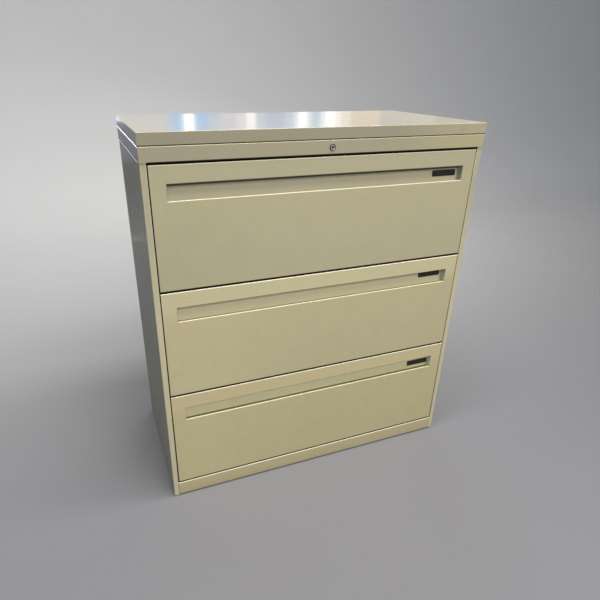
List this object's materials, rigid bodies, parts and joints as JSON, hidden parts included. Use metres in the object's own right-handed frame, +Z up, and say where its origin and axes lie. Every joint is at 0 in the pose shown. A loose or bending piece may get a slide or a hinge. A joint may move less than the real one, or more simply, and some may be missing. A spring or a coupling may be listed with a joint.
{
  "type": "lateral filing cabinet",
  "caption": "Painted steel lateral filing cabinet: full-width drawers with recessed finger pulls, ball slides and a central lock.",
  "frame": {"origin": "on the floor under the middle of the cabinet", "axes": "+Z up, +Y from the drawer fronts to the back, +X to the right of someone facing the drawers"},
  "size_m": [0.9144, 0.4586, 1.0192],
  "materials": {
    "case_enamel": "semi-gloss baked enamel, warm putty",
    "inner_enamel": "same enamel, thinner and flatter on inner faces",
    "zinc_plate": "bright zinc plate",
    "cage_steel": "greased cold-rolled strip",
    "raw_steel": "mill scale, black",
    "bright_chrome": "polished nickel chrome",
    "black_plastic": "fine-grained black moulding"
  },
  "bodies": {
    "cabinet": {"top_cap": "case_enamel", "top_band": "case_enamel", "left_side_panel": "case_enamel", "right_side_panel": "case_enamel", "back_panel": "case_enamel", "base_rail": "case_enamel", "top_stiffeners": "inner_enamel", "top_rail": "inner_enamel", "bottom_pan": "inner_enamel", "slide_uprights": "zinc_plate", "outer_slides": "zinc_plate", "glide_brackets": "zinc_plate", "rod_guides": "zinc_plate", "bellcrank_bracket": "zinc_plate", "lock_bar_guides": "zinc_plate", "counterweight": "raw_steel", "levelling_glides": "zinc_plate", "lock_housing": "bright_chrome"},
    "key_plug": {"lock_plug": "bright_chrome", "lock_cam": "zinc_plate"},
    "push_rod": {"lock_rod": "zinc_plate"},
    "bellcrank": {"lock_bellcrank": "zinc_plate"},
    "locking_bar": {"lock_bar": "zinc_plate"},
    "bottom_drawer": {"bottom_drawer_front": "case_enamel", "bottom_drawer_pull": "case_enamel", "bottom_label_holder": "black_plastic", "bottom_drawer_liner": "inner_enamel", "bottom_drawer_tray": "inner_enamel", "bottom_tray_back": "inner_enamel", "bottom_file_rails": "zinc_plate", "bottom_inner_slides": "zinc_plate", "bottom_drawer_catch": "zinc_plate"},
    "bottom_middle_members": {"bottom_middle_slides": "zinc_plate"},
    "bottom_outer_ball_cages": {"bottom_outer_cages": "cage_steel"},
    "bottom_inner_ball_cages": {"bottom_inner_cages": "cage_steel"},
    "middle_drawer": {"middle_drawer_front": "case_enamel", "middle_drawer_pull": "case_enamel", "middle_label_holder": "black_plastic", "middle_drawer_liner": "inner_enamel", "middle_drawer_tray": "inner_enamel", "middle_tray_back": "inner_enamel", "middle_file_rails": "zinc_plate", "middle_inner_slides": "zinc_plate", "middle_drawer_catch": "zinc_plate"},
    "middle_middle_members": {"middle_middle_slides": "zinc_plate"},
    "middle_outer_ball_cages": {"middle_outer_cages": "cage_steel"},
    "middle_inner_ball_cages": {"middle_inner_cages": "cage_steel"},
    "top_drawer": {"top_drawer_front": "case_enamel", "top_drawer_pull": "case_enamel", "top_label_holder": "black_plastic", "top_drawer_liner": "inner_enamel", "top_drawer_tray": "inner_enamel", "top_tray_back": "inner_enamel", "top_file_rails": "zinc_plate", "top_inner_slides": "zinc_plate", "top_drawer_catch": "zinc_plate"},
    "top_middle_members": {"top_middle_slides": "zinc_plate"},
    "top_outer_ball_cages": {"top_outer_cages": "cage_steel"},
    "top_inner_ball_cages": {"top_inner_cages": "cage_steel"}
  },
  "joints": [
    {"name": "bottom_drawer_slide", "type": "slide", "parent": "cabinet", "child": "bottom_drawer", "axis": [0, -1, 0], "range_m": [0, 0.38]},
    {"name": "bottom_middle_members_slide", "type": "slide", "parent": "cabinet", "child": "bottom_middle_members", "axis": [0, -1, 0], "range_m": [0, 0.19005]},
    {"name": "bottom_outer_ball_cages_slide", "type": "slide", "parent": "cabinet", "child": "bottom_outer_ball_cages", "axis": [0, -1, 0], "range_m": [0, 0.09505]},
    {"name": "bottom_inner_ball_cages_slide", "type": "slide", "parent": "cabinet", "child": "bottom_inner_ball_cages", "axis": [0, -1, 0], "range_m": [0, 0.28505]},
    {"name": "middle_drawer_slide", "type": "slide", "parent": "cabinet", "child": "middle_drawer", "axis": [0, -1, 0], "range_m": [0, 0.38]},
    {"name": "middle_middle_members_slide", "type": "slide", "parent": "cabinet", "child": "middle_middle_members", "axis": [0, -1, 0], "range_m": [0, 0.19005]},
    {"name": "middle_outer_ball_cages_slide", "type": "slide", "parent": "cabinet", "child": "middle_outer_ball_cages", "axis": [0, -1, 0], "range_m": [0, 0.09505]},
    {"name": "middle_inner_ball_cages_slide", "type": "slide", "parent": "cabinet", "child": "middle_inner_ball_cages", "axis": [0, -1, 0], "range_m": [0, 0.28505]},
    {"name": "top_drawer_slide", "type": "slide", "parent": "cabinet", "child": "top_drawer", "axis": [0, -1, 0], "range_m": [0, 0.38]},
    {"name": "top_middle_members_slide", "type": "slide", "parent": "cabinet", "child": "top_middle_members", "axis": [0, -1, 0], "range_m": [0, 0.19005]},
    {"name": "top_outer_ball_cages_slide", "type": "slide", "parent": "cabinet", "child": "top_outer_ball_cages", "axis": [0, -1, 0], "range_m": [0, 0.09505]},
    {"name": "top_inner_ball_cages_slide", "type": "slide", "parent": "cabinet", "child": "top_inner_ball_cages", "axis": [0, -1, 0], "range_m": [0, 0.28505]},
    {"name": "locking_bar_lift", "type": "slide", "parent": "cabinet", "child": "locking_bar", "axis": [0, 0, 1], "range_m": [0, 0.01072]},
    {"name": "push_rod_slide", "type": "slide", "parent": "cabinet", "child": "push_rod", "axis": [-1, 0, 0], "range_m": [0, 0.01073]},
    {"name": "bellcrank_turn", "type": "hinge", "parent": "cabinet", "child": "bellcrank", "pos_m": [0.42, -0.1914, 0.95258], "axis": [0, -1, 0], "range_deg": [0, 45.05]},
    {"name": "key_turn", "type": "hinge", "parent": "cabinet", "child": "key_plug", "pos_m": [0, -0.2286, 0.9728], "axis": [0, 1, 0], "range_deg": [0, 90.1]}
  ],
  "couplings": [
    {"joint": "bottom_middle_members_slide", "follows": "bottom_drawer_slide", "ratio": 0.5},
    {"joint": "bottom_outer_ball_cages_slide", "follows": "bottom_drawer_slide", "ratio": 0.25},
    {"joint": "bottom_inner_ball_cages_slide", "follows": "bottom_drawer_slide", "ratio": 0.75},
    {"joint": "middle_middle_members_slide", "follows": "middle_drawer_slide", "ratio": 0.5},
    {"joint": "middle_outer_ball_cages_slide", "follows": "middle_drawer_slide", "ratio": 0.25},
    {"joint": "middle_inner_ball_cages_slide", "follows": "middle_drawer_slide", "ratio": 0.75},
    {"joint": "top_middle_members_slide", "follows": "top_drawer_slide", "ratio": 0.5},
    {"joint": "top_outer_ball_cages_slide", "follows": "top_drawer_slide", "ratio": 0.25},
    {"joint": "top_inner_ball_cages_slide", "follows": "top_drawer_slide", "ratio": 0.75},
    {"joint": "push_rod_slide", "follows": "locking_bar_lift", "ratio": 1},
    {"joint": "bellcrank_turn", "follows": "locking_bar_lift", "rad_per_m": 73.298},
    {"joint": "key_turn", "follows": "locking_bar_lift", "rad_per_m": 146.6}
  ]
}
